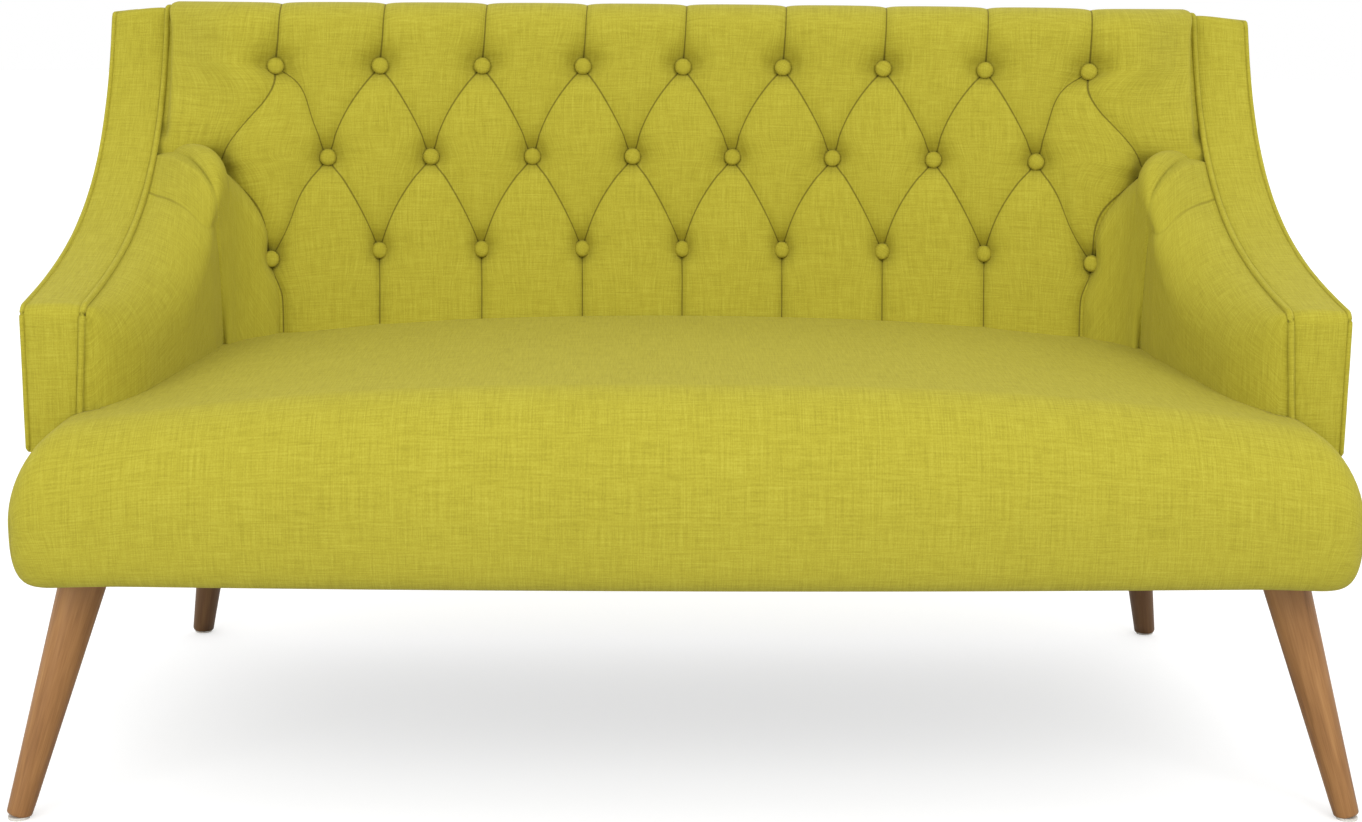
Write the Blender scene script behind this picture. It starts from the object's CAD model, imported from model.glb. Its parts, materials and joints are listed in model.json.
"""The looks of a compact two-seat sofa: linen cover with a diamond-buttoned back, piped arm
facings, a bench seat with a rounded nose and turned wooden legs. Metres; +Y is to the rear."""

import json
import math

import bpy
import numpy as np
from mathutils import Matrix, Vector


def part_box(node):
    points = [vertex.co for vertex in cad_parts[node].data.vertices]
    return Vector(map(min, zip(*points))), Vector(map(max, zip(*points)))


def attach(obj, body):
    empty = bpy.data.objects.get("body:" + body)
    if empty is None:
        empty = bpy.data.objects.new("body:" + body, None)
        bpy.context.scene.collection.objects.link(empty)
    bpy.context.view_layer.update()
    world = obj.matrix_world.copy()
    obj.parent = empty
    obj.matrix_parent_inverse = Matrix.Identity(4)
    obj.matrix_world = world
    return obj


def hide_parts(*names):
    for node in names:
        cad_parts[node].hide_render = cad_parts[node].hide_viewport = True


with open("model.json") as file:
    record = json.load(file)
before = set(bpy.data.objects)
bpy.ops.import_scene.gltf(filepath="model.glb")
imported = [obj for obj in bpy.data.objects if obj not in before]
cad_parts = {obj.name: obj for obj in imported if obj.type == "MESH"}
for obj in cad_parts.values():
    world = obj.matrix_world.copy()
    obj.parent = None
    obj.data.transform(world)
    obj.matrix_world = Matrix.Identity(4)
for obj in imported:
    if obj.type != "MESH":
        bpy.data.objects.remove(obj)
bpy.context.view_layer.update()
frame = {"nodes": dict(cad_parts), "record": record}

# ---- Sizes, from the frame where it has them ----
arm_box_low, arm_box_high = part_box("arm_facing_right")
ARM_FRONT = arm_box_low.y
WING_TOP = arm_box_high.z
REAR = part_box("outside_back_cover")[1].y
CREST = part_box("back_cover")[1].z
BACK_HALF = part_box("back_cover")[1].x + 0.012  # its edge lies under the piping of the wing
SEAT_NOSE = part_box("seat_cover")[0].y
SEAT_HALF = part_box("seat_cover")[1].x
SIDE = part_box("outside_arm_cover_right")[1].x

ARM_CORNER_R = 0.013
ARM_TOP = 0.521
SLOPE = np.array([(-0.216, 0.521), (-0.024, 0.546), (0.164, 0.586), (0.235, 0.797)])
WING_CORNER_R = 0.006
FACING_IN = np.array([(0.352, 0.629), (0.521, 0.618), (0.80, 0.616)])  # z and x of its edge
PIPING_R = 0.0034
EDGE_PIPING_R = 0.0025

PITCH = 0.119  # between buttons along a row
ROWS = (0.530, 0.638, 0.743)  # heights of the button rows
BUTTON_PLANE = 0.179  # y of the button plane at the lowest row
RAKE = 0.185  # how far the back leans per metre of height
CURVE = 0.050  # how far the back comes forward at CURVE_AT
CURVE_AT = 0.476
ROLL_R = 0.028
CREST_PADDING = 0.0135  # the padding over the top roll
WING_LINE = 0.590  # x at which the back's cover turns in behind the piping of the wing
FACE_TURN = 0.492  # x from which the back's face runs back to the wing
TOP_RUN = 0.13  # length of the back's top, from the roll to its rear edge
TOP_PADDING = 0.0125  # the padding of the roll and top
BUTTON_R = 0.0098
TUBE_STEP = 0.004  # between the rings of a piping
FINE = 28  # grid steps from a button row to the next

FABRIC_SLOT = "cover_fabric"


# ---- Camera and light ----
def make_camera():
    """A camera in front of the sofa, a little above its top, tilted down at the seat."""
    pitch, yaw, roll = 0.2006, 0.0212, 0.0085
    forward = Vector(
        (math.sin(yaw) * math.cos(pitch), math.cos(yaw) * math.cos(pitch), -math.sin(pitch))
    )
    level = Vector((math.cos(yaw), -math.sin(yaw), 0))
    above = level.cross(forward)
    right = math.cos(roll) * level + math.sin(roll) * above
    up = math.cos(roll) * above - math.sin(roll) * level
    data = bpy.data.cameras.new("camera")
    data.lens = 59.55
    data.sensor_width = 36
    data.clip_end = 50
    camera = bpy.data.objects.new("camera", data)
    turned = Matrix((right, up, -forward)).transposed().to_4x4()
    camera.matrix_world = Matrix.Translation((-0.0563, -2.4935, 0.8762)) @ turned
    bpy.context.scene.collection.objects.link(camera)
    bpy.context.scene.camera = camera


def area_light(name, place, target, size, power):
    data = bpy.data.lights.new(name, "AREA")
    data.shape = "RECTANGLE"
    data.size, data.size_y = size
    data.energy = power
    light = bpy.data.objects.new(name, data)
    light.location = place
    aim = Vector(target) - Vector(place)
    light.rotation_euler = aim.to_track_quat("-Z", "Y").to_euler()
    bpy.context.scene.collection.objects.link(light)


def light_studio():
    """Soft light from the upper right in front, a weaker fill from the left, a pale surround."""
    world = bpy.data.worlds.new("studio")
    world.use_nodes = True
    background = world.node_tree.nodes["Background"]
    background.inputs["Color"].default_value = (1, 1, 1, 1)
    bpy.context.scene.world = world
    bpy.context.scene.view_settings.view_transform = "Standard"
    area_light("key", (1.5, -2.8, 2.5), (0.1, 0, 0.5), (1.8, 1.8), 39)
    area_light("fill", (-1.9, -2.8, 1.7), (0, 0, 0.45), (1.8, 1.8), 27)


def make_floor():
    """A wide plain floor. What the camera sees of it is brightened, as on a lit sweep, and what
    it throws back up at the sofa isn't."""
    reach = 14.0
    corners = [(-reach, -reach, 0), (reach, -reach, 0), (reach, reach, 0), (-reach, reach, 0)]
    mesh = bpy.data.meshes.new("floor")
    mesh.from_pydata(corners, [], [(0, 1, 2, 3)])
    floor = bpy.data.objects.new("floor", mesh)
    material = bpy.data.materials.new("pale_floor")
    material.use_nodes = True
    shader = material.node_tree.nodes["Principled BSDF"]
    shader.inputs["Base Color"].default_value = (0.66, 0.66, 0.66, 1)
    shader.inputs["Roughness"].default_value = 0.9
    shader.inputs["Emission Color"].default_value = (1, 1, 1, 1)
    seen = material.node_tree.nodes.new("ShaderNodeLightPath")
    glow = material.node_tree.nodes.new("ShaderNodeMath")
    glow.operation = "MULTIPLY"
    glow.inputs[1].default_value = 0.52
    material.node_tree.links.new(seen.outputs["Is Camera Ray"], glow.inputs[0])
    material.node_tree.links.new(glow.outputs[0], shader.inputs["Emission Strength"])
    mesh.materials.append(material)
    bpy.context.scene.collection.objects.link(floor)


make_camera()
light_studio()
make_floor()


# ---- Materials ----
class Nodes:
    """A small helper that adds and joins shader nodes."""

    def __init__(self, name):
        self.material = bpy.data.materials.new(name)
        self.material.use_nodes = True
        self.tree = self.material.node_tree
        self.shader = self.tree.nodes["Principled BSDF"]

    def add(self, kind, **settings):
        node = self.tree.nodes.new(kind)
        for key, value in settings.items():
            setattr(node, key, value)
        return node

    def join(self, source, target):
        self.tree.links.new(source, target)

    def maths(self, operation, first, second=None):
        node = self.add("ShaderNodeMath", operation=operation)
        for socket, value in zip(node.inputs, (first, second)):
            if isinstance(value, (int, float)):
                socket.default_value = value
            elif value is not None:
                self.join(value, socket)
        return node.outputs[0]

    def weighted(self, *parts):
        """The sum of each value times its weight."""
        scaled = [self.maths("MULTIPLY", value, weight) for value, weight in parts]
        total = scaled[0]
        for more in scaled[1:]:
            total = self.maths("ADD", total, more)
        return total

    def stretched(self, coordinates, scale):
        node = self.add("ShaderNodeMapping")
        node.inputs["Scale"].default_value = scale
        self.join(coordinates, node.inputs["Vector"])
        return node.outputs[0]

    def noise(self, place, scale, detail, roughness=0.5):
        node = self.add("ShaderNodeTexNoise")
        node.inputs["Scale"].default_value = 1.0
        node.inputs["Detail"].default_value = detail
        node.inputs["Roughness"].default_value = roughness
        self.join(self.stretched(place, scale), node.inputs["Vector"])
        return node.outputs["Fac"]

    def bands(self, vector, direction):
        """Slightly uneven waves across one direction."""
        node = self.add("ShaderNodeTexWave", wave_type="BANDS", bands_direction=direction)
        node.inputs["Scale"].default_value = 1.0
        node.inputs["Distortion"].default_value = 0.6
        self.join(vector, node.inputs["Vector"])
        return node.outputs["Fac"]

    def ramp(self, value, stops):
        node = self.add("ShaderNodeValToRGB")
        while len(node.color_ramp.elements) < len(stops):
            node.color_ramp.elements.new(0.5)
        for element, (position, colour) in zip(node.color_ramp.elements, stops):
            element.position = position
            element.color = (*colour, 1)
        self.join(value, node.inputs["Fac"])
        return node.outputs["Color"]

    def bump(self, height, distance, strength=1.0):
        node = self.add("ShaderNodeBump")
        node.inputs["Distance"].default_value = distance
        node.inputs["Strength"].default_value = strength
        self.join(height, node.inputs["Height"])
        self.join(node.outputs["Normal"], self.shader.inputs["Normal"])

    def object_place(self):
        return self.add("ShaderNodeTexCoord").outputs["Object"]

    def paint(self, colour):
        self.join(colour, self.shader.inputs["Base Color"])

    def set(self, **values):
        for name, value in values.items():
            self.shader.inputs[name.replace("_", " ")].default_value = value


def linen_material():
    """Plain-woven linen-look cloth, in the piece's own UV map in metres: threads of uneven
    thickness run both ways, so thin streaks of lighter and darker yarn cross each other. A
    thread is about a millimetre wide and a slub 10 to 50 mm long. The attribute "fold" is 1
    beside a pleat or seam and darkens a fine line where "offset" is 0."""
    nodes = Nodes("chartreuse_linen")
    cloth = nodes.add("ShaderNodeUVMap").outputs[0]
    weft = nodes.noise(cloth, (38, 780, 1), 2.5, 0.6)
    warp = nodes.noise(cloth, (780, 38, 1), 2.5, 0.6)
    long_weft = nodes.noise(cloth, (14, 330, 1), 1.0)
    long_warp = nodes.noise(cloth, (330, 14, 1), 1.0)
    speck = nodes.noise(cloth, (620, 620, 1), 1.0)
    cloud = nodes.noise(cloth, (5, 5, 1), 2.0)
    yarn = nodes.maths("ADD", weft, warp)
    slub = nodes.maths("ADD", long_weft, long_warp)
    mixed = nodes.weighted((yarn, 0.36), (slub, 0.13), (speck, 0.20), (cloud, 0.06))
    tone = nodes.ramp(
        nodes.maths("SUBTRACT", mixed, 0.12),
        [(0.28, (0.290, 0.252, 0.018)), (0.5, (0.405, 0.355, 0.030)), (0.72, (0.510, 0.465, 0.055))],
    )
    fold = nodes.add("ShaderNodeAttribute", attribute_name="fold").outputs["Fac"]
    offset = nodes.add("ShaderNodeAttribute", attribute_name="offset").outputs["Fac"]
    line = nodes.add("ShaderNodeMapRange", interpolation_type="SMOOTHSTEP")
    line.inputs["From Min"].default_value = 0.0014
    line.inputs["From Max"].default_value = 0.0002
    nodes.join(nodes.maths("ABSOLUTE", offset), line.inputs["Value"])
    dark = nodes.maths("MULTIPLY", line.outputs[0], fold)
    shade = nodes.add("ShaderNodeMix", data_type="RGBA", blend_type="MULTIPLY")
    shade.inputs["B"].default_value = (0.44, 0.42, 0.38, 1)
    nodes.join(dark, shade.inputs["Factor"])
    nodes.join(tone, shade.inputs["A"])
    nodes.paint(shade.outputs["Result"])
    weave = nodes.stretched(cloth, (330, 330, 1))
    grain = nodes.maths("MULTIPLY", nodes.bands(weave, "X"), nodes.bands(weave, "Y"))
    nodes.bump(nodes.weighted((yarn, 0.8), (grain, 0.35)), 0.0006, 0.55)
    nodes.set(Roughness=0.93, Specular_IOR_Level=0.25, Sheen_Weight=0.08, Sheen_Roughness=0.45)
    nodes.set(Sheen_Tint=(0.93, 0.88, 0.45, 1))
    return nodes.material


def leg_wood_material(name, depth):
    """Turned hardwood with a walnut stain: long grain streaks along the leg's length, a few
    darker pores and satin lacquer. depth is how much light the stain lets back. Reads the
    piece's UV map, round the leg and along it."""
    nodes = Nodes(name)
    along = nodes.add("ShaderNodeUVMap").outputs[0]
    streaks = nodes.noise(along, (95, 5.5, 1), 4.0, 0.62)
    pores = nodes.noise(along, (700, 30, 1), 1.5, 0.5)
    broad = nodes.noise(along, (22, 2.2, 1), 2.0)
    pitted = nodes.maths("SUBTRACT", pores, 0.5)
    mixed = nodes.weighted((streaks, 0.6), (broad, 0.4), (pitted, 0.22))
    stops = [
        (0.22, (0.120, 0.046, 0.011)),
        (0.42, (0.290, 0.128, 0.035)),
        (0.58, (0.410, 0.196, 0.060)),
        (0.80, (0.535, 0.285, 0.100)),
    ]
    nodes.paint(nodes.ramp(mixed, [(at, tuple(depth * c for c in colour)) for at, colour in stops]))
    nodes.bump(nodes.maths("ADD", pores, streaks), 0.0003, 0.35)
    nodes.set(Roughness=0.45, Specular_IOR_Level=0.35, Coat_Weight=0.10, Coat_Roughness=0.3)
    return nodes.material


def timber_material():
    """Raw planed softwood for the hidden frame, with growth rings running along X."""
    nodes = Nodes("raw_frame_timber")
    place = nodes.object_place()
    rings = nodes.noise(place, (4, 70, 70), 3.0, 0.6)
    tone = nodes.ramp(rings, [(0.3, (0.52, 0.34, 0.17)), (0.7, (0.76, 0.57, 0.34))])
    nodes.paint(tone)
    nodes.bump(rings, 0.0005, 0.3)
    nodes.set(Roughness=0.75)
    return nodes.material


def metal_material(name, colour, roughness):
    """Bright plated or oiled steel, faintly mottled."""
    nodes = Nodes(name)
    place = nodes.object_place()
    mottle = nodes.noise(place, (90, 90, 90), 3.0)
    darker = tuple(0.8 * c for c in colour)
    nodes.paint(nodes.ramp(mottle, [(0.3, darker), (0.7, colour)]))
    nodes.set(Metallic=1.0, Roughness=roughness)
    return nodes.material


def dust_cloth_material():
    """Thin black spun-bonded cloth with a fine dimpled print."""
    nodes = Nodes("black_dust_cloth")
    place = nodes.object_place()
    fibres = nodes.noise(place, (900, 900, 900), 2.0)
    dimples = nodes.add("ShaderNodeTexVoronoi")
    dimples.inputs["Scale"].default_value = 600
    nodes.join(place, dimples.inputs["Vector"])
    tone = nodes.ramp(fibres, [(0.3, (0.012, 0.012, 0.014)), (0.7, (0.05, 0.05, 0.055))])
    nodes.paint(tone)
    nodes.bump(dimples.outputs["Distance"], 0.0004, 0.5)
    nodes.set(Roughness=0.85)
    return nodes.material


def nylon_material():
    """Moulded off-white nylon with a faint texture."""
    nodes = Nodes("glide_nylon")
    place = nodes.object_place()
    scuff = nodes.noise(place, (400, 400, 400), 2.0)
    tone = nodes.ramp(scuff, [(0.3, (0.60, 0.58, 0.52)), (0.7, (0.76, 0.74, 0.68))])
    nodes.paint(tone)
    nodes.set(Roughness=0.5)
    return nodes.material


LINEN = linen_material()
LEG_WOOD = leg_wood_material("stained_leg_wood", 0.86)
REAR_LEG_WOOD = leg_wood_material("darker_leg_wood", 0.38)
TIMBER = timber_material()
ZINC = metal_material("zinc_plate", (0.62, 0.63, 0.64), 0.35)
SPRING_STEEL = metal_material("spring_steel", (0.25, 0.26, 0.27), 0.45)
DUST_CLOTH = dust_cloth_material()
NYLON = nylon_material()


# ---- Mesh tools ----
def grid_faces(rows, columns):
    """Quads of a grid stored row by row."""
    i, j = np.meshgrid(np.arange(rows - 1), np.arange(columns - 1), indexing="ij")
    near = (i * columns + j).ravel()
    far = near + columns
    return np.stack([near, near + 1, far + 1, far], 1)


def piece(name, points, faces, material, slot, uv=None, fold=None, offset=None, turn=False):
    """A mesh object from an array of points and an array of faces with equal corner counts.
    fold is how dark a seam is at each point, and offset the signed distance from it."""
    points = np.asarray(points, np.float64).reshape(-1, 3)
    faces = np.asarray(faces)
    if turn:
        faces = faces[:, ::-1]
    corners = faces.shape[1]
    mesh = bpy.data.meshes.new(name)
    mesh.vertices.add(len(points))
    mesh.vertices.foreach_set("co", points.astype(np.float32).ravel())
    mesh.loops.add(faces.size)
    mesh.loops.foreach_set("vertex_index", faces.astype(np.int32).ravel())
    mesh.polygons.add(len(faces))
    mesh.polygons.foreach_set("loop_start", np.arange(0, faces.size, corners, dtype=np.int32))
    mesh.update(calc_edges=True)
    if uv is not None:
        at_corners = np.asarray(uv).reshape(-1, 2)[faces.ravel()]
        layer = mesh.uv_layers.new(name="cloth")
        layer.data.foreach_set("uv", at_corners.astype(np.float32).ravel())
    for label, values in (("fold", fold), ("offset", offset)):
        if values is not None:
            attribute = mesh.attributes.new(label, "FLOAT", "POINT")
            attribute.data.foreach_set("value", np.asarray(values, np.float32).ravel())
    mesh.polygons.foreach_set("use_smooth", np.full(len(faces), True))
    mesh.materials.append(material)
    made = bpy.data.objects.new(name, mesh)
    bpy.context.scene.collection.objects.link(made)
    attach(made, "root")
    return made


def cloth_grid(name, points, **more):
    """A piece of the cover's cloth on a grid of points."""
    return piece(name, points, grid_faces(*points.shape[:2]), LINEN, FABRIC_SLOT, **more)


def with_run(across, run):
    """UV coordinates: across each row, and the running length down the rows."""
    return np.stack(np.broadcast_arrays(across, run[:, None]), -1)


def ease(t):
    """0 to 1 with level ends."""
    t = np.clip(t, 0, 1)
    return t * t * (3 - 2 * t)


def round_over(q):
    """Height of a quarter circle of radius 1 at distance q from its foot."""
    q = np.clip(q, 0, 1)
    return np.sqrt(1 - (1 - q) ** 2)


def unit(vectors):
    return vectors / np.maximum(np.linalg.norm(vectors, axis=-1, keepdims=True), 1e-12)


def grid_normals(points):
    """Unit normals of a grid of points, rows by columns, row direction cross column direction."""
    down = np.gradient(points, axis=0)
    across = np.gradient(points, axis=1)
    return unit(np.cross(across, down))


def lengths_along(points):
    """Running length of a line of points."""
    steps = np.linalg.norm(np.diff(points, axis=0), axis=1)
    return np.concatenate([[0], np.cumsum(steps)])


def resampled(points, count):
    """The same line with its points evenly spaced."""
    run = lengths_along(points)
    at = np.linspace(0, run[-1], count)
    return np.stack([np.interp(at, run, points[:, k]) for k in range(points.shape[1])], 1)


def bezier(corners, t):
    t = np.asarray(t)[:, None]
    a, b, c, d = corners
    return (1 - t) ** 3 * a + 3 * (1 - t) ** 2 * t * b + 3 * (1 - t) * t * t * c + t**3 * d


def circle(side, other, angle):
    """Unit circles in the planes of two directions, which may be one pair or one per point."""
    cos, sin = np.cos(angle)[:, None], np.sin(angle)[:, None]
    return side[..., None, :] * cos + other[..., None, :] * sin


def tube(name, path, radius, sides, wobble, seed):
    """A closed tube: a circle of that radius carried along a path, its ends drawn to a point.
    wobble makes the cord inside it a little uneven."""
    path = resampled(path, max(8, int(lengths_along(path)[-1] / TUBE_STEP)))
    along = unit(np.gradient(path, axis=0))
    side = unit(np.cross(along, np.array([0.0, 0.0, 1.0]) + 1e-6))
    steep = np.abs(along[:, 2:3]) > 0.95
    side = np.where(steep, unit(np.cross(along, np.array([1.0, 0.0, 0.0]))), side)
    other = np.cross(along, side)
    random = np.random.default_rng(seed)
    uneven = np.convolve(random.normal(size=len(path) + 8), np.ones(9) / 9, "valid")
    radii = radius * (1 + wobble * uneven)
    radii[0] = radii[-1] = 1e-5
    angle = np.linspace(0, 2 * np.pi, sides + 1)
    points = path[:, None] + circle(side, other, angle) * radii[:, None, None]
    return cloth_grid(name, points, uv=with_run(angle * radius, lengths_along(path)))


# ---- Arm outline ----
def arc_line(front, top, radius, angles):
    """Points (y, z) of a corner of that radius, which touches y = front and z = top."""
    y = front + radius * (1 + np.cos(angles))
    return np.stack([y, top - radius * (1 - np.sin(angles))], 1)


def arm_outline(low, count):
    """The side outline of arm and wing as evenly spaced (y, z): up the arm front from low,
    round its corner, along one cubic curve up to the wing, round and back to the rear."""
    corner = arc_line(ARM_FRONT, ARM_TOP, ARM_CORNER_R, np.linspace(np.pi, np.pi / 2, 9))
    slope = bezier(SLOPE, np.linspace(0, 1, 60))
    over = arc_line(SLOPE[3, 0], WING_TOP, WING_CORNER_R, np.linspace(np.pi * 0.9, np.pi / 2, 6))
    line = np.concatenate([[(ARM_FRONT, low)], corner, slope[1:-1], over, [(REAR - 0.003, WING_TOP)]])
    return resampled(line, count)


def facing_in(z):
    """x of the facing's inner edge at height z."""
    return np.interp(z, FACING_IN[:, 0], FACING_IN[:, 1])


def outward(line):
    """Unit normals of an outline of (y, z), to the front and up."""
    along = unit(np.gradient(line, axis=0))
    return np.stack([-along[:, 1], along[:, 0]], 1)


# ---- Buttoned back ----
def row_height(v):
    """Height of the face at row coordinate v: -1, 0 and 1 are the button rows."""
    upper = ROWS[1] + (ROWS[2] - ROWS[1]) * v
    lower = ROWS[1] + (ROWS[1] - ROWS[0]) * v
    return np.where(v > 0, upper, lower)


def plan_curve(x):
    """How far the back stands forward of its middle, in plan."""
    return CURVE * (np.abs(x) / CURVE_AT) ** 2


def wing_edge(z):
    """y where the back's face meets the piping of the wing at height z."""
    line = arm_outline(0.40, 500)
    slope = line[(line[:, 1] > ARM_TOP + 0.002) & (line[:, 1] < WING_TOP - 0.002)]
    return np.interp(z, slope[:, 1], slope[:, 0])


def face_y(x, z):
    """y of the back's plain face. Out to FACE_TURN it is a raked plane bowed forward at its
    ends; from there a cubic carries it back to the piping of the wing."""
    plane = BUTTON_PLANE + RAKE * (z - ROWS[0])
    inner = plane - plan_curve(x)
    start = plane - plan_curve(FACE_TURN)
    edge = np.maximum(wing_edge(z) + 0.004, start + 0.022)
    reach = BACK_HALF - FACE_TURN
    share = np.clip((np.abs(x) - FACE_TURN) / reach, 0, 1)
    leave = -2 * CURVE * FACE_TURN / CURVE_AT**2 * reach
    arrive = 1.25 * np.maximum(edge - start, 0.0) + 0.01
    h00, h10 = 2 * share**3 - 3 * share**2 + 1, share**3 - 2 * share**2 + share
    h01, h11 = -2 * share**3 + 3 * share**2, share**3 - share**2
    outer = h00 * start + h10 * leave + h01 * edge + h11 * arrive
    return np.where(np.abs(x) < FACE_TURN, inner, outer)


def tuft_fields(u, v):
    """Distances on the buttoned pattern in metres: to the nearest pleat, with a sign, and to
    the nearest button. Columns of buttons are at whole u in rows v = 1 and -1, and half-way in
    row 0; pleats join neighbouring buttons and run straight up and down from the outer rows."""
    height = ROWS[1] - ROWS[0]
    across = u - np.clip(np.round(u), -4, 4)
    spread = 0.5 * np.clip(1 - np.abs(v), 0, 1)
    slant = height / math.hypot(PITCH / 2, height)
    narrow = slant + (1 - slant) * ease((np.abs(v) - 1) * 8)
    signed = (np.abs(across) - spread) * PITCH * narrow
    half = np.clip(np.round(u - 0.5), -5, 4) + 0.5
    middle = np.hypot((u - half) * PITCH, v * height)
    outer = np.hypot(across * PITCH, (np.abs(v) - 1) * height)
    return signed, np.minimum(middle, outer)


def tuft_height(u, v):
    """How far the padding stands out from the button plane: a deep round dimple at each
    button, a shallow valley along each pleat and a softly crowned cushion between them."""
    signed, button = tuft_fields(u, v)
    pleat = np.abs(signed)
    random = np.random.default_rng(4)
    full = random.uniform(0.88, 1.1, size=(24, 12))
    cell = full[(np.round(u * 2).astype(int) + 12) % 24, (np.round(v * 2).astype(int) + 8) % 12]
    beside = np.maximum(button - 0.0078, 0)
    dimple = 0.0185 * (1 - np.exp(-((beside / 0.0125) ** 1.25)))
    cushion = 0.0060 * (1 - np.exp(-pleat / 0.015)) * (0.7 + 0.3 * cell) * ease(beside / 0.012)
    valley = (0.0016 + 0.0045 * np.exp(-button / 0.022)) * np.exp(-pleat / 0.0038)
    open_ends = 0.0030 * ease((np.abs(v) - 1.02) / 0.1) * np.exp(-pleat / 0.0050)
    return dimple + cushion - valley - open_ends


def pleat_pull(v):
    """How far the end pleats lean to the middle below the bottom row."""
    return 0.009 * ease((-1 - v) / 0.5)


def tuft_place(u, v):
    """x on the face of the pattern point (u, v): pleats bow outwards between button rows, and
    the pleats above the top row lean a little."""
    wave = np.sin(np.pi * np.clip(v, -1, 1))
    side = np.clip(v / 0.22, -1, 1)
    fade = ease((1.5 - np.abs(v)) / 0.5)
    inside = ease((4.6 - np.abs(u)) / 0.5)
    bow = 0.0062 * np.sin(2 * np.pi * u) * side * fade * inside
    lean = -0.0028 * np.abs(wave) * inside
    top = 0.0045 * np.clip(v - 1, 0, 0.6) / 0.6
    end = ease((np.abs(u) - 3.65) / 0.35)
    arc = 0.0125 * np.sin(np.pi * np.clip(-v, 0, 1) ** 0.75) * end
    wider = 0.14 * np.clip(np.abs(u) - 4, 0, None) * PITCH + 0.005 * end * np.exp(-(((v + 1) / 0.4) ** 2))
    last = ease((np.abs(u) - 3.55) / 0.6) * ease((5.0 - np.abs(u)) / 0.45)
    arc = arc + 0.021 * last * np.sin(np.pi * np.clip(v, 0, 1) ** 1.6)
    return u * PITCH + bow + lean + top * inside - np.sign(u) * (arc + end * pleat_pull(v) - wider)


def back_surface(u, v, over, lift):
    """Points of the back's cover. u and v are pattern coordinates, over is the length past the
    start of the top roll, and lift raises the padding. Below the roll it is the raked face;
    then a quarter circle over the top, and a gentle fall to the rear edge."""
    lean = math.atan(RAKE)
    x = np.clip(tuft_place(u, v), -BACK_HALF, BACK_HALF)
    roll_z = CREST - CREST_PADDING - ROLL_R + ROLL_R * math.sin(lean)
    z = np.minimum(row_height(v), roll_z)
    z = z - 0.009 * np.exp(-((v / 0.5) ** 2)) * ease((np.abs(u) - 4) / 0.5)
    z = z - 0.008 * np.exp(-(((v + 1) / 0.35) ** 2)) * ease((np.abs(u) - 3.3) / 0.7)
    face = np.stack([x, face_y(x, z), z], -1)
    start_y = face_y(x, np.full_like(x, roll_z))
    sweep = np.clip(over / ROLL_R, 0, np.pi / 2 - lean) + lean
    centre_y = start_y + ROLL_R * math.cos(lean)
    centre_z = roll_z - ROLL_R * math.sin(lean)
    arc = np.stack([x, centre_y - ROLL_R * np.cos(sweep), centre_z + ROLL_R * np.sin(sweep)], -1)
    run_length = ROLL_R * (np.pi / 2 - lean)
    share = np.clip((over - run_length) / TOP_RUN, 0, 1)
    fall = 0.013 * share**1.5
    run = np.stack([x, centre_y + (REAR - 0.004 - centre_y) * share, centre_z + ROLL_R - fall], -1)
    base = np.where((over <= 0)[..., None], face, np.where((over < run_length)[..., None], arc, run))
    drop = 0.002 * (np.abs(x) / BACK_HALF) ** 8 * ease((base[..., 2] - 0.74) / 0.07)
    base[..., 2] -= drop * (1 - share)
    normals = grid_normals(base)
    return base + normals * lift[..., None]


def make_back():
    columns = int(BACK_HALF / PITCH * 2 * FINE)
    u = np.arange(-columns, columns + 1) / (2 * FINE)
    low, high = -2.16, (CREST - CREST_PADDING - ROLL_R + 0.005 - ROWS[1]) / (ROWS[2] - ROWS[1])
    face_rows = np.arange(round(low * FINE), round(high * FINE)) / FINE
    roll_end = 0.038
    top_rows = roll_end + TOP_RUN * np.linspace(0.06, 1, 14)
    over_rows = np.concatenate([np.linspace(0.001, roll_end, 11), top_rows])
    v_all = np.concatenate([face_rows, high + over_rows / (ROWS[2] - ROWS[1])])
    over = np.concatenate([np.zeros(len(face_rows)), over_rows])
    grid_u, grid_v = np.meshgrid(u, v_all)
    grid_over = np.broadcast_to(over[:, None], grid_u.shape)
    lift = tuft_height(grid_u, grid_v)
    calm = ease((grid_over - 0.02) / TOP_RUN)
    level_top = TOP_PADDING + 0.25 * (lift - TOP_PADDING)
    lift += (level_top - lift) * ease((grid_over - 0.006) / 0.03)
    lift = lift * (1 - calm) + 0.002 * calm
    below_roll = 1 - ease((grid_over - 0.002) / 0.028)
    wing = ease((np.abs(grid_u) - 4.25) / 0.5) * below_roll
    lift = lift * (1 - 0.35 * wing)
    beyond = np.abs(grid_u) - (4 + 0.5 * np.clip(1 + grid_v, 0, 1))
    lift -= 0.022 * ease(beyond / 0.10) * (grid_v < 0)
    starts = WING_LINE + 0.010 * (1 - below_roll)
    edge = ease((np.abs(tuft_place(grid_u, grid_v)) - starts) / (0.009 + 0.008 * below_roll))
    above_arm = ease((grid_v - 0.15) / 0.25)
    lift -= 0.017 * edge * above_arm
    points = back_surface(grid_u, grid_v, grid_over, lift)
    pleat = tuft_fields(grid_u, grid_v)[0]
    fold = (np.abs(grid_u) < 4.52) * (1 - ease((grid_over - 0.06) / 0.08))
    run = np.concatenate([row_height(face_rows), row_height(np.array([high])) + over_rows])
    uv = with_run(grid_u * PITCH, run)
    back = cloth_grid("tufted_back_cover", points, uv=uv, fold=fold, offset=pleat)
    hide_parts("back_cover", "back_foam")


def button_places():
    """(u, v) of every button, in three rows."""
    rows = [(np.arange(-4, 5), -1), (np.arange(-3.5, 4), 0), (np.arange(-4, 5), 1)]
    return [(float(u), float(v)) for us, v in rows for u in us]


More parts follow.
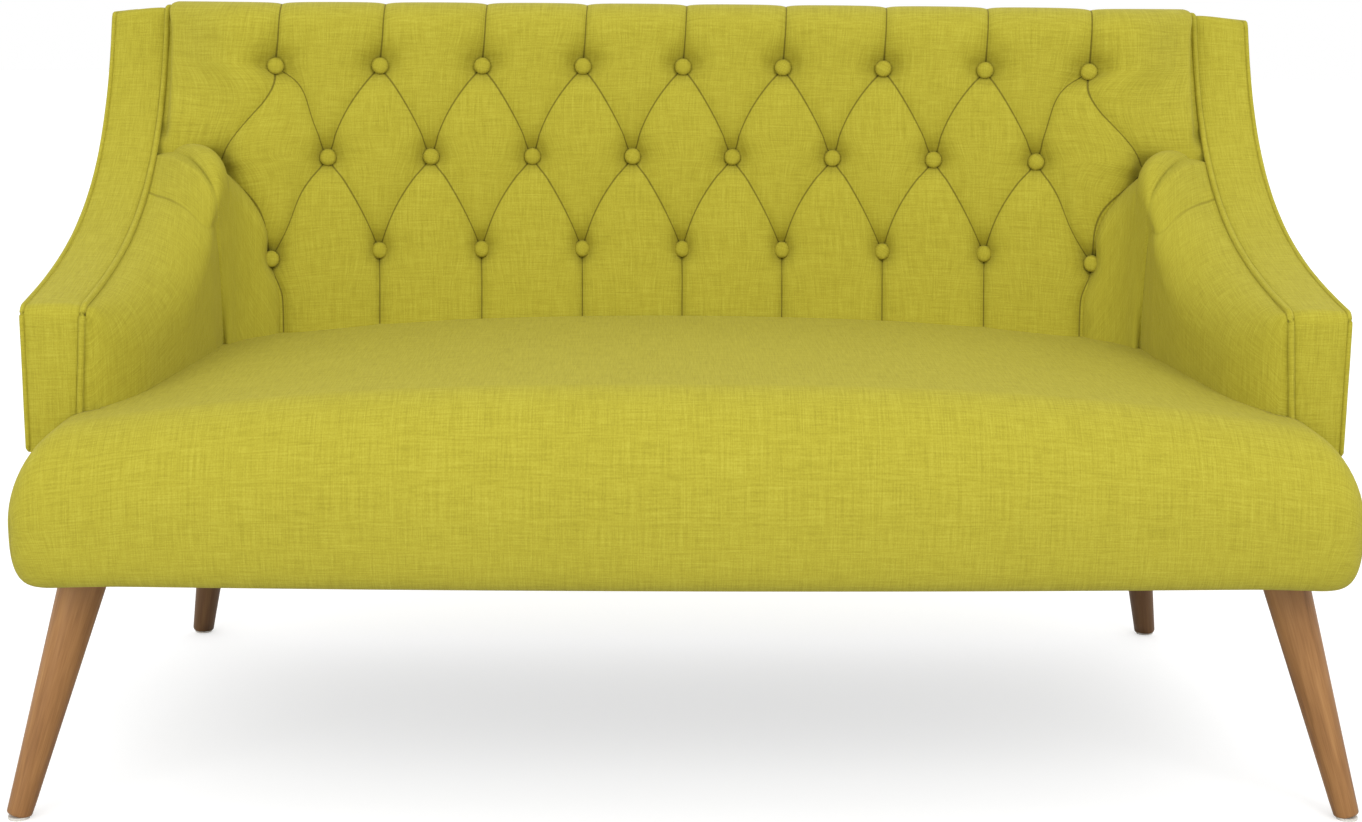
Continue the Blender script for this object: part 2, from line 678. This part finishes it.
def make_buttons():
    """Covered buttons: a domed top that rolls over into a short side, cloth drawn smooth."""
    names = {-1.0: "tufting_buttons_bottom", 0.0: "tufting_buttons_middle", 1.0: "tufting_buttons_top"}
    profile = [(0, 1), (0.25, 0.985), (0.5, 0.93), (0.72, 0.82), (0.88, 0.64), (0.97, 0.4), (1, 0.12)]
    profile = np.array(profile + [(0.97, -0.15), (0.85, -0.35), (0.3, -0.4)])
    radial = profile[:, 0] * BUTTON_R
    rise = profile[:, 1] * 0.0062
    sides = 28
    angle = np.linspace(0, 2 * np.pi, sides + 1)
    random = np.random.default_rng(11)
    for k, (u, v) in enumerate(button_places()):
        at = np.array([[u, u + 0.01], [u, u + 0.01]])
        high = np.array([[v, v], [v + 0.01, v + 0.01]])
        flat = np.zeros((2, 2))
        raised = 0.0012 + 0.0040 * (abs(u) == 4 and v == -1)  # clear of the arm's padding
        spot = back_surface(at, high, flat, flat + raised)
        normal = grid_normals(spot)[0, 0]
        tilt = random.normal(scale=0.05, size=3)
        normal = unit(normal + tilt)
        level = unit(np.cross([0, 0, 1.0], normal))
        up = np.cross(normal, level)
        ring = radial[:, None, None] * circle(level, up, angle)
        points = spot[0, 0] + ring + rise[:, None, None] * normal
        turned = angle + random.uniform(0, 0.6)
        flat_cloth = radial[:, None, None] * np.stack([np.cos(turned), np.sin(turned)], -1)
        flat_cloth = flat_cloth + (0.05 * k, 0)
        made = cloth_grid(f"button_{k + 1:02d}", points, uv=flat_cloth, turn=True)
        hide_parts(names[v])


# ---- Facings and piping ----
def make_facings(side, word):
    """The narrow piped strip over the arm front, slope and wing: a ribbon between the two
    pipings, softly crowned and drawn down at its edges."""
    line = arm_outline(0.37, 240)
    normals = outward(line)
    width = 25
    across = 0.5 - 0.5 * np.cos(np.linspace(0, np.pi, width))
    inner = facing_in(line[:, 1])
    crown = 0.0022 * np.sin(np.pi * across) ** 0.6 - 0.0014 * (
        np.exp(-across / 0.05) + np.exp(-(1 - across) / 0.05)
    )
    random = np.random.default_rng(7)
    ripple = np.convolve(random.normal(size=len(line) + 24), np.hanning(25) / 12, "valid") * 0.0004
    x = inner[:, None] - 0.0012 + (SIDE + 0.0030 - inner[:, None]) * across[None]
    lift = crown[None] + ripple[:, None] * np.sin(np.pi * across)[None]
    y = line[:, :1] + normals[:, :1] * lift
    z = line[:, 1:] + normals[:, 1:] * lift
    raised = 0.007 * ease((line[:, 1] - 0.73) / 0.07) * (1 - ease((line[:, 0] - 0.25) / 0.06))
    z = z + raised[:, None] * (1 - across[None])
    points = np.stack([side * x, y, z], -1)
    run = lengths_along(line)
    uv = with_run(side * x, run + 0.2)
    made = cloth_grid(f"arm_facing_cover_{word}", points, uv=uv, turn=side < 0)
    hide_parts(f"arm_facing_{word}")
    path = np.column_stack([side * (inner - 0.0036), line + normals * 0.0004])
    path[:, 2] += raised
    piping = tube(f"facing_piping_{word}", path, PIPING_R, 12, 0.05, 21 + side)
    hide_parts(f"inner_piping_{word}")
    beside = np.full(len(line), side * (SIDE + 0.0020))
    path = np.column_stack([beside, line - normals * 0.0002])
    piping = tube(f"edge_piping_{word}", path, EDGE_PIPING_R, 10, 0.06, 31 + side)
    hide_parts(f"outer_piping_{word}")


# ---- Legs ----
def make_leg(name, side):
    """A straight-tapered turned leg along the line of the frame's leg: a circle carried from
    foot to top, with the foot's edge rounded over. It keeps the frame's cut under the seat."""
    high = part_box(name)[1]
    top_r, foot_r = 0.025, 0.013
    near = name.startswith("front")
    foot = np.array([side * (0.687 if near else 0.620), -0.296 if near else 0.355, 0.0])
    top = np.array([side * (0.616 if near else 0.573), -0.245 if near else 0.300, high.z])
    axis = unit(top - foot)
    length = np.linalg.norm(top - foot)
    curl = np.linspace(np.pi / 2, 0, 7)
    bead = 0.0035
    rounded = 0.0005 + bead * (1 - np.sin(curl))
    along = np.concatenate([[0.0004], rounded, np.linspace(0.02, length + 0.012, 22)])
    taper = foot_r + (top_r - foot_r) * np.clip(along / length, 0, 1.1) ** 1.05
    radius = taper.copy()
    radius[1:8] = taper[1:8] - bead * (1 - np.cos(curl))
    radius[0] = 1e-5
    sides = 40
    angle = np.linspace(0, 2 * np.pi, sides + 1)
    level = unit(np.cross(axis, [0, 1.0, 0]))
    other = np.cross(axis, level)
    centre = foot + axis * (along[:, None] + 0.002)
    points = centre[:, None] + circle(level, other, angle) * radius[:, None, None]
    points[..., 2] = np.clip(points[..., 2], 0.0031, high.z)
    phase = 0.3 if near else 0.9
    uv = with_run(angle * 0.02 + phase * side, along)
    wood = LEG_WOOD if near else REAR_LEG_WOOD
    made = piece(f"{name}_turned", points, grid_faces(len(along), sides + 1), wood, "leg_wood", uv=uv)
    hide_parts(name)


# ---- Inside arms ----
PAD_LOW = 0.400  # the arm covers run down behind the seat to here
INNER_FRONT = -0.2288
INNER_EDGE = 0.0065  # the cover starts this far in from the facing, under the piping


def arm_foot_line():
    """Plan of the arm cover where it goes down behind the seat, on the right: out of the front
    piping in a quarter ellipse, back along the arm, round the inside corner and into the last
    pleat of the back. Points of (x, y)."""
    front_end = INNER_FRONT + 0.065 * (1 - np.cos(np.linspace(0, np.pi / 2, 24)))
    y = np.concatenate([front_end, np.linspace(-0.16, 0.03, 40)])
    x = facing_in(PAD_LOW) - INNER_EDGE - 0.047 * round_over((y - INNER_FRONT) / 0.070)
    x = smoothed(x - 0.044 * np.clip((y + 0.20) / 0.22, 0, 1), 6)
    bend = np.array([(x[-1], 0.03), (0.526, 0.072), (0.516, 0.095), (0.494, 0.104)])
    corner = bezier(bend, np.linspace(0, 1, 40))
    turn = np.linspace(0, np.pi / 2, 12)
    pleat = np.stack([0.494 - 0.020 * np.sin(turn), 0.104 + 0.024 * (1 - np.cos(turn))], 1)
    return np.concatenate([np.stack([x, y], 1), corner[1:], pleat[1:]])


def arm_rim():
    """The arm cover's upper edge on the right, as (x, y, z), with a running number for each
    point: 0 to 1 along the piping, 1 to 2 over the crease under the wing, 2 to 3 down the last
    pleat to its button."""
    line = arm_outline(0.40, 700)
    piped = line[(line[:, 1] > ARM_TOP - ARM_CORNER_R) & (line[:, 1] < 0.642)]
    piped = piped[piped[:, 0] < 0.2]
    piped = resampled(piped, 110)
    welt = np.column_stack([facing_in(piped[:, 1]) - INNER_EDGE, piped + (0.0006, -0.0012)])
    v = np.linspace(0, -1, 34)
    u = np.stack([4 + 0.5 * (1 + v), 4.01 + 0.5 * (1 + v)], 1)
    zero = np.zeros_like(u)
    pleat = back_surface(u, np.stack([v, v], 1), zero, zero)[:, 0]
    share = np.linspace(0, 1, 24)[1:-1]
    start, end = welt[-1], pleat[0]
    x = start[0] + (end[0] - start[0]) * share
    z = start[2] + (end[2] - start[2]) * share + 0.014 * np.sin(np.pi * share) ** 0.8
    crease = np.stack([x, face_y(x, z), z], 1)
    rim = np.concatenate([welt, crease, pleat])
    number = np.concatenate([np.linspace(0, 1, len(welt)), 1 + share, np.linspace(2, 3, len(pleat))])
    return rim, number


def smoothed(values, passes):
    """A running average along a line that keeps its ends."""
    values = values.copy()
    for _ in range(passes):
        values[1:-1] = 0.25 * values[:-2] + 0.5 * values[1:-1] + 0.25 * values[2:]
    return values


def make_arm(side, word):
    """The inside arm cover: from its rim each section leaves level or a little upwards, goes
    over a quarter ellipse and down behind the seat:
    plan = rim + (foot - rim) (sin a - sin a0) / (1 - sin a0), z = rim + h (cos a - cos a0)."""
    rim, number = arm_rim()
    foot = arm_foot_line()
    run = lengths_along(foot)
    at_junction = np.interp(0.048, foot[:90, 1], run[:90])
    at_pinch = run[-1] - 0.062
    rear = np.where(rim[:, 1] < -0.06, rim[:, 1], -0.06 + (rim[:, 1] + 0.06) * 0.108 / 0.21)
    rear = smoothed(rear, 30)
    place = np.interp(rear, foot[:90, 1], run[:90])
    place = np.where(number > 1, at_junction + (at_pinch - at_junction) * (number - 1), place)
    place = np.where(number > 2, at_pinch + (run[-1] - at_pinch) * (number - 2), place)
    place[0] = 0
    base = np.stack([np.interp(place, run, foot[:, 0]), np.interp(place, run, foot[:, 1])], 1)
    out = np.linalg.norm(base - rim[:, :2], axis=1)
    drop = np.where(number <= 1, 0.060 * np.clip(out / 0.045, 0, 1) ** 0.6, 0)
    drop = np.where(number > 1, np.interp(number, [1, 2, 3], [0.060, 0.040, 0.016]), drop)
    rise = np.interp(number, [0, 0.3, 0.9, 1.2, 1.8, 2.1, 3], [0, 0, 0, 16, 20, 8, 2])
    first = -np.radians(smoothed(rise, 12))
    rows = 30
    share = np.linspace(0, 1, rows)[:, None]
    angle = first[None] + (np.pi / 2 - first[None]) * share
    reach = (np.sin(angle) - np.sin(first)) / (1 - np.sin(first))
    plan = rim[None, :, :2] + (base - rim[:, :2])[None] * reach[..., None]
    height = rim[None, :, 2] + drop[None] * (np.cos(angle) - np.cos(first))
    lower = np.linspace(0, 1, 27)[1:, None]
    end = height[-1]
    height = np.concatenate([height, end + (PAD_LOW - end) * lower])
    plan = np.concatenate([plan, np.broadcast_to(plan[-1], (len(lower), len(rim), 2))])
    points = np.concatenate([plan, height[..., None]], -1)
    raked = ease((number - 1) / 1.0)[None] * RAKE * np.clip(end - height, 0, 1)
    points[..., 1] -= raked
    pull = pleat_pull((points[..., 2] - ROWS[1]) / (ROWS[1] - ROWS[0]))
    points[..., 0] -= pull * ease((number - 2.3) / 0.7)[None]
    normals = grid_normals(points)
    depth = np.concatenate([0.5 * share[:, 0], 0.5 + 0.5 * lower[:, 0]])[:, None]
    column = np.broadcast_to(number[None], height.shape)
    seam_at = 0.84 + 0.42 * ease((depth - 0.28) / 0.6)
    from_seam = np.abs(column - seam_at) * 0.16
    groove = 0.0038 * np.exp(-from_seam / 0.007) * ease(depth / 0.04)
    lobe = 0.006 * np.exp(-(((column - 1.45) / 0.5) ** 2) - ((depth - 0.24) / 0.2) ** 2)
    belly = 0.003 * np.exp(-(((column - 0.5) / 0.35) ** 2) - ((depth - 0.45) / 0.3) ** 2)
    fold_at = 2.02 - 0.14 * (depth / 0.4) ** 2
    from_fold = np.abs(column - fold_at) * 0.07
    crook = 0.0035 * np.exp(-from_fold / 0.006) * (1 - ease((depth - 0.30) / 0.3))
    drawn = 0.011 * np.exp(-((np.linalg.norm(points - rim[-1], axis=-1) / 0.022) ** 2))
    lift = lobe + belly - groove - crook - drawn
    points = points + normals * lift[..., None]
    across = lengths_along(rim)
    steps = np.linalg.norm(np.diff(points, axis=0), axis=2)
    down = np.cumsum(np.concatenate([np.zeros((1, len(rim))), steps]), 0)
    uv = np.stack([np.broadcast_to(across[None], down.shape) + 1.3, -down], -1)
    offset = (column - seam_at) * 0.16
    fold = (0.12 + 0.4 * (1 - ease(depth / 0.35))) * (np.abs(offset) < 0.01)
    points[..., 0] *= side
    made = cloth_grid(
        f"inside_arm_cushion_{word}", points,
        uv=uv * (side, 1), fold=fold, offset=offset, turn=side > 0,
    )
    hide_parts(f"inside_arm_cover_{word}", f"arm_foam_{word}")


# ---- Bench seat ----
EAR_REAR = -0.2315  # the seat's ends stop in front of the arms
SEAT_INNER = 0.601
FRONT_R = 0.085
END_R = 0.060
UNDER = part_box("seat_front_rail")[0].z - 0.005
CORNER_POWER = 4.0
GATHER_LINE = 0.668  # x of the small gather at each front corner


def seat_top(x, y):
    """Height of the bench's top: crowned across, with its middle a little higher in front."""
    front = 0.455 - 0.035 * (np.abs(x) / 0.575) ** 2.6
    rear = 0.458 - 0.019 * (np.abs(x) / 0.476) ** 2
    share = ease((y + 0.26) / 0.40)
    tuck = 0.035 * ease((y - 0.125) / 0.06)
    return front + (rear - front) * share - tuck


def make_seat():
    """The bench cushion, T-shaped in plan. Its front and ends are quarter ellipses over the
    widest line and superellipses under it, joined round the front corners:
    z = widest + (top - widest) sqrt(1 - (p^n + q^n)^(2/n)), p and q the shares of the front
    and end roll."""
    flat_x = SEAT_HALF - END_R
    ends = np.linspace(np.pi / 2, 0, 17)
    half = np.linspace(0, SEAT_INNER, 75)
    end_x = np.full(len(ends), flat_x)
    straight = np.concatenate([-end_x, -half[::-1], half[1:], end_x])
    end_roll = np.concatenate([-np.sin(ends), np.zeros(2 * len(half) - 1), np.sin(ends[::-1])])
    roll = np.linspace(np.pi / 2, 0, 21)
    ear_rows = np.linspace(-0.2755, EAR_REAR, 6)
    inner_rows = np.linspace(EAR_REAR + 0.008, 0.19, 52)
    y_rows = np.concatenate([np.full(len(roll), SEAT_NOSE + FRONT_R), ear_rows, inner_rows])
    front_roll = np.concatenate([np.sin(roll), np.zeros(len(ear_rows) + len(inner_rows))])[:, None]
    n = CORNER_POWER
    p = front_roll * (1 - np.abs(end_roll) ** n / 2) ** (1 / n)
    q = end_roll * (1 - front_roll**n / 2) ** (1 / n)
    foot = arm_foot_line()
    inner = np.minimum(np.interp(y_rows, foot[:, 1], foot[:, 0]) + 0.004, SEAT_INNER)
    inner = np.where(y_rows > EAR_REAR, inner, SEAT_INNER)[:, None]
    past = np.clip(np.abs(straight) - 0.45, 0, None)
    squeeze = (inner - 0.45) / (SEAT_INNER - 0.45)
    narrowed = np.sign(straight) * past * (squeeze - 1)
    x = straight + narrowed + END_R * q
    y = y_rows[:, None] - FRONT_R * p
    bow = 0.013 * (np.abs(x) / 0.6) ** 2
    y = y + bow * np.clip((EAR_REAR - y) / (EAR_REAR - SEAT_NOSE), 0, 1)
    widest = 0.330 - 0.013 * ease((np.abs(x) - 0.50) / 0.15)
    dome = np.sqrt(np.clip(1 - (p**n + np.abs(q) ** n) ** (2 / n), 0, 1))
    z = widest + (seat_top(x, y) - widest) * dome
    points = np.stack([x, y, z], -1)
    arc_x = straight + 0.08 * (2 / np.pi) * np.arcsin(end_roll)
    arc_y = y_rows - 0.11 * (2 / np.pi) * np.arcsin(front_roll[:, 0])
    uv = with_run(arc_x + narrowed, arc_y)
    rows, columns = x.shape
    number = np.arange(rows * columns).reshape(rows, columns)
    ear_row = len(roll) + len(ear_rows) - 1
    left = int(np.argmin(np.abs(straight + SEAT_INNER)))
    right = int(np.argmin(np.abs(straight - SEAT_INNER)))
    faces = grid_faces(rows, columns)
    i, j = faces[:, 0] // columns, faces[:, 0] % columns
    faces = faces[(i < ear_row) | ((j >= left) & (j < right))]
    loop = np.concatenate(
        [
            number[0, :],
            number[1 : ear_row + 1, -1],
            number[ear_row, right:-1][::-1],
            number[ear_row + 1 :, right],
            number[-1, left:right][::-1],
            number[ear_row:-1, left][::-1],
            number[ear_row, 1:left][::-1],
            number[1 : ear_row + 1, 0][::-1],
        ]
    )
    points, uv = points.reshape(-1, 3), uv.reshape(-1, 2)
    edge = points[loop]
    out = np.stack([q.ravel()[loop], -p.ravel()[loop]], 1)
    shown = np.zeros(len(loop))
    shown[: columns + ear_row] = 1
    shown[-ear_row:] = 1
    turn = np.linspace(0, np.pi / 2, 15)[1:]
    fall = np.concatenate([np.sin(turn) ** 0.66, [1, 1, 1]])
    inset = np.concatenate([1 - np.abs(np.cos(turn)) ** 0.66, [1.15, 1.3, 1.45]])
    under = UNDER - 0.002 * ease((np.abs(edge[:, 0]) - 0.56) / 0.09)
    depth = np.where(shown > 0, edge[:, 2] - under, edge[:, 2] - 0.30)
    in_by = (0.033 - 0.006 * np.abs(out[:, 0] * out[:, 1])) * shown
    inwards = np.column_stack([-out * in_by[:, None], np.zeros(len(loop))])
    downwards = np.column_stack([np.zeros((len(loop), 2)), -depth])
    skirt = edge + inwards * inset[:, None, None] + downwards * fall[:, None, None]
    steps = np.hypot(np.diff(fall, prepend=0) * 0.07, np.diff(inset, prepend=0) * 0.034)
    skirt_uv = uv[loop] + out * np.cumsum(steps)[:, None, None]
    added = number.size + np.arange(len(fall) * len(loop)).reshape(-1, len(loop))
    rings = np.concatenate([loop[None], added])
    a, b = rings[:-1], rings[1:]
    wall = np.stack([a, b, np.roll(b, -1, 1), np.roll(a, -1, 1)], -1).reshape(-1, 4)
    points = np.concatenate([points, skirt.reshape(-1, 3)])
    uv = np.concatenate([uv, skirt_uv.reshape(-1, 2)])
    faces = np.concatenate([faces, wall])
    height = points[:, 2]
    gather = 0.35 * ease((0.337 - height) / 0.012) * ease((height - 0.272) / 0.02)
    gather = gather * (points[:, 1] < -0.3)
    used = np.unique(faces)
    fresh = np.zeros(len(points), int)
    fresh[used] = np.arange(len(used))
    made = piece(
        "bench_seat_cushion", points[used], fresh[faces], LINEN, FABRIC_SLOT,
        uv=uv[used], fold=gather[used], offset=np.abs(points[used, 0]) - GATHER_LINE,
    )
    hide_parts("seat_cover", "seat_foam")


# ---- Outside covers and dust cover ----
HEM = 0.2585  # the outside covers turn under here


def rear_y(z):
    """y of the rear face at height z: it leans back as it rises."""
    return 0.330 + (REAR - 0.330) * np.clip((z - 0.262) / (WING_TOP - 0.262), 0, 1)


def make_outside_arm(side, word):
    """Cloth stretched over the outside of arm and wing, from piping to rear edge, a little
    fuller in its middle and turned under at the bottom."""
    line = arm_outline(0.30, 900)
    columns = 121
    share = np.linspace(0, 1, columns)
    share = share - 0.06 * np.sin(2 * np.pi * share) / (2 * np.pi)
    top = np.full(columns, WING_TOP)
    for _ in range(6):
        y = ARM_FRONT + 0.0008 + share * (rear_y(top) - ARM_FRONT - 0.0016)
        top = np.interp(y, line[:, 0] + np.arange(len(line)) * 1e-9, line[:, 1] - 0.001)
    up = np.linspace(0, 1, 81)[:, None]
    z = HEM + up * (top[None] - HEM)
    y = ARM_FRONT + 0.0008 + share[None] * (rear_y(z) - ARM_FRONT - 0.0016)
    full = 0.0026 * np.sin(np.pi * share)[None] ** 0.5 * np.sin(np.pi * np.clip(up, 0, 1)) ** 0.5
    x = SIDE - 0.0012 + full
    under = np.array([0.002, 0.008, 0.016, 0.024])[::-1, None]
    x = np.concatenate([np.repeat(SIDE - 0.0012 - under, columns, 1), x])
    y = np.concatenate([np.broadcast_to(y[0], (4, columns)), y])
    z = np.concatenate([np.broadcast_to(HEM - 0.0006, (4, columns)), z])
    points = np.stack([side * x, y, z], -1)
    uv = np.stack([y + side, z + 0.5], -1)
    made = cloth_grid(f"outside_arm_cloth_{word}", points, uv=uv, turn=side < 0)
    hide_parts(f"outside_arm_cover_{word}")


def make_outside_back():
    """Cloth stretched over the rear, drawn slightly hollow between the frame's uprights, its
    sides and top turned over the edges."""
    across, up = np.meshgrid(np.linspace(-1, 1, 181), np.linspace(0, 1, 91))
    z = HEM + up * (WING_TOP - 0.001 - HEM)
    x = across * SIDE
    hollow = 0.004 * (1 - across**2) ** 0.7 * np.sin(np.pi * up)
    y = rear_y(z) - 0.0006 - hollow
    y = y - 0.004 * np.clip((np.abs(across) - 0.992) / 0.008, 0, 1) ** 2
    over = np.array([0.002, 0.006, 0.012])[:, None]
    x = np.concatenate([x, np.repeat(x[-1:], 3, 0)])
    y = np.concatenate([y, y[-1:] - over])
    z = np.concatenate([z, np.repeat(z[-1:] + 0.0012, 3, 0)])
    under = np.array([0.024, 0.014, 0.006, 0.0015])[:, None]
    x = np.concatenate([np.repeat(x[:1], 4, 0), x])
    z = np.concatenate([np.full((4, 181), HEM - 0.0006), z])
    y = np.concatenate([y[:1] - under, y])
    points = np.stack([x, y, z], -1)
    uv = np.stack([x, z + 2.2], -1)
    made = cloth_grid("outside_back_cloth", points, uv=uv, turn=True)
    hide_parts("outside_back_cover")


def make_dust_cover():
    """Thin cloth stapled under the frame: it sags a little between its folded edges."""
    low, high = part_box("dust_cover")
    x, y = np.meshgrid(np.linspace(low.x, high.x, 141), np.linspace(low.y, high.y, 81))
    across = (x - low.x) / (high.x - low.x)
    along = (y - low.y) / (high.y - low.y)
    random = np.random.default_rng(3)
    sag = 0.0015 * np.sin(np.pi * across) * np.sin(np.pi * along)
    waves = sum(
        random.uniform(0.0002, 0.0006) * np.sin(random.uniform(9, 30) * x + random.uniform(9, 30) * y + k)
        for k in range(5)
    )
    edge = np.minimum(np.minimum(x - low.x, high.x - x), np.minimum(y - low.y, high.y - y))
    fold = 0.0006 * (1 - ease((edge - 0.018) / 0.002))
    z = low.z + 0.0008 - fold + waves * ease(edge / 0.05) - sag
    points = np.stack([x, y, z], -1)
    made = piece("black_dust_sheet", points, grid_faces(81, 141), DUST_CLOTH, "dust_cloth", turn=True)
    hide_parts("dust_cover")


make_back()
make_buttons()
make_seat()
make_outside_back()
make_dust_cover()
for side, word in ((1, "right"), (-1, "left")):
    make_arm(side, word)
    make_facings(side, word)
    make_outside_arm(side, word)
    make_leg(f"front_leg_{word}", side)
    make_leg(f"rear_leg_{word}", side)

# ---- The frame's own pieces ----
MATERIAL_OF_SLOT = {
    "frame_timber": TIMBER,
    "spring_steel": SPRING_STEEL,
    "zinc_steel": ZINC,
    "dust_cloth": DUST_CLOTH,
    "glide_nylon": NYLON,
    "leg_wood": LEG_WOOD,
    "cover_fabric": LINEN,
    "foam": TIMBER,
}
for part in frame["record"]["subparts"]:
    node = frame["nodes"][part["node"]]
    node.data.materials.clear()
    node.data.materials.append(MATERIAL_OF_SLOT[part["material_slot"]])
